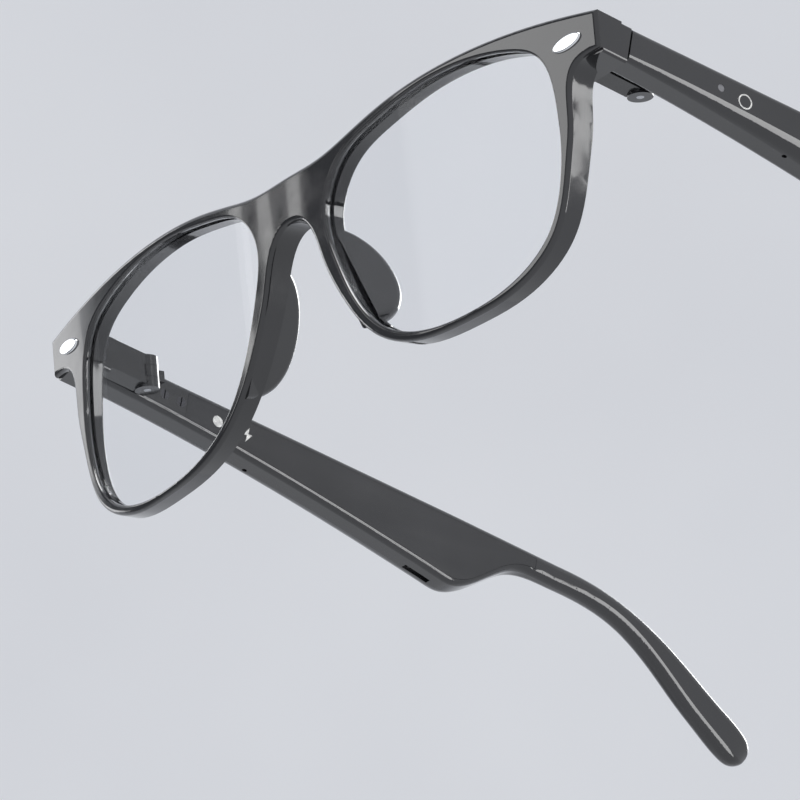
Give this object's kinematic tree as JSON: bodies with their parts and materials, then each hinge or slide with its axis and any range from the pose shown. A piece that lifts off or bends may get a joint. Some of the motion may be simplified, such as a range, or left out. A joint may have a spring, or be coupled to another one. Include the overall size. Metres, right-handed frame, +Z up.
{
  "type": "smart glasses",
  "caption": "Open-ear audio glasses: black glossy front with clear lenses, moulded nose pads, and two hinged temples holding battery, speaker, touch area and charging contacts.",
  "frame": {"origin": "centre of the bounding box at its lowest level, where the rims and ear tips stand", "axes": "+X to the wearer's left, +Y back toward the ears, +Z up"},
  "size_m": [0.1476, 0.1416, 0.0424],
  "materials": {
    "frame_gloss": "polished moulded black, near mirror gloss",
    "lens_clear": "clear anti-glare polycarbonate",
    "rivet_chrome": "bright plated",
    "hinge_black": "black lacquered die casting",
    "screw_steel": "plain steel",
    "screw_dark": "blackened steel",
    "temple_gloss": "polished moulded black",
    "cover_gloss": "polished moulded black",
    "cell_wrap": "pouch cell foil",
    "board_green": "solder mask",
    "speaker_body": "moulded speaker box",
    "grille_mesh": "fine black mesh",
    "mic_can": "plated can",
    "touch_film": "polyimide film",
    "contact_metal": "plated contact",
    "magnet_nickel": "nickel plate",
    "light_clear": "clear light guide",
    "wire_red": "insulated lead",
    "wire_black": "insulated lead"
  },
  "bodies": {
    "front": {"front_frame": "frame_gloss", "lens_left": "lens_clear", "lens_right": "lens_clear", "rivet_left": "rivet_chrome", "rivet_right": "rivet_chrome", "front_hinge_left": "hinge_black", "front_hinge_right": "hinge_black", "front_hinge_screws_left": "screw_dark", "front_hinge_screws_right": "screw_dark", "hinge_pin_left": "screw_steel", "hinge_pin_right": "screw_steel"},
    "temple_left": {"temple_shell_left": "temple_gloss", "temple_cover_left": "cover_gloss", "temple_hinge_left": "hinge_black", "temple_hinge_screws_left": "screw_dark", "battery_left": "cell_wrap", "circuit_board_left": "board_green", "speaker_left": "speaker_body", "speaker_grille_left": "grille_mesh", "microphone_left": "mic_can", "touch_pad_left": "touch_film", "charge_contacts_left": "contact_metal", "charge_magnet_left": "magnet_nickel", "light_pipe_left": "light_clear", "battery_leads_left": "wire_red", "speaker_leads_left": "wire_black"},
    "temple_right": {"temple_shell_right": "temple_gloss", "temple_cover_right": "cover_gloss", "temple_hinge_right": "hinge_black", "temple_hinge_screws_right": "screw_dark", "battery_right": "cell_wrap", "circuit_board_right": "board_green", "speaker_right": "speaker_body", "speaker_grille_right": "grille_mesh", "microphone_right": "mic_can", "touch_pad_right": "touch_film", "charge_contacts_right": "contact_metal", "charge_magnet_right": "magnet_nickel", "light_pipe_right": "light_clear", "battery_leads_right": "wire_red", "speaker_leads_right": "wire_black"}
  },
  "joints": [
    {"name": "temple_fold_left", "type": "hinge", "parent": "front", "child": "temple_left", "pos_m": [0.06505, -0.05164, 0.03396], "axis": [0, -0.1268, 0.9919], "range_deg": [0, 90]},
    {"name": "temple_fold_right", "type": "hinge", "parent": "front", "child": "temple_right", "pos_m": [-0.06505, -0.05164, 0.03396], "axis": [0, 0.1268, -0.9919], "range_deg": [0, 83]}
  ]
}
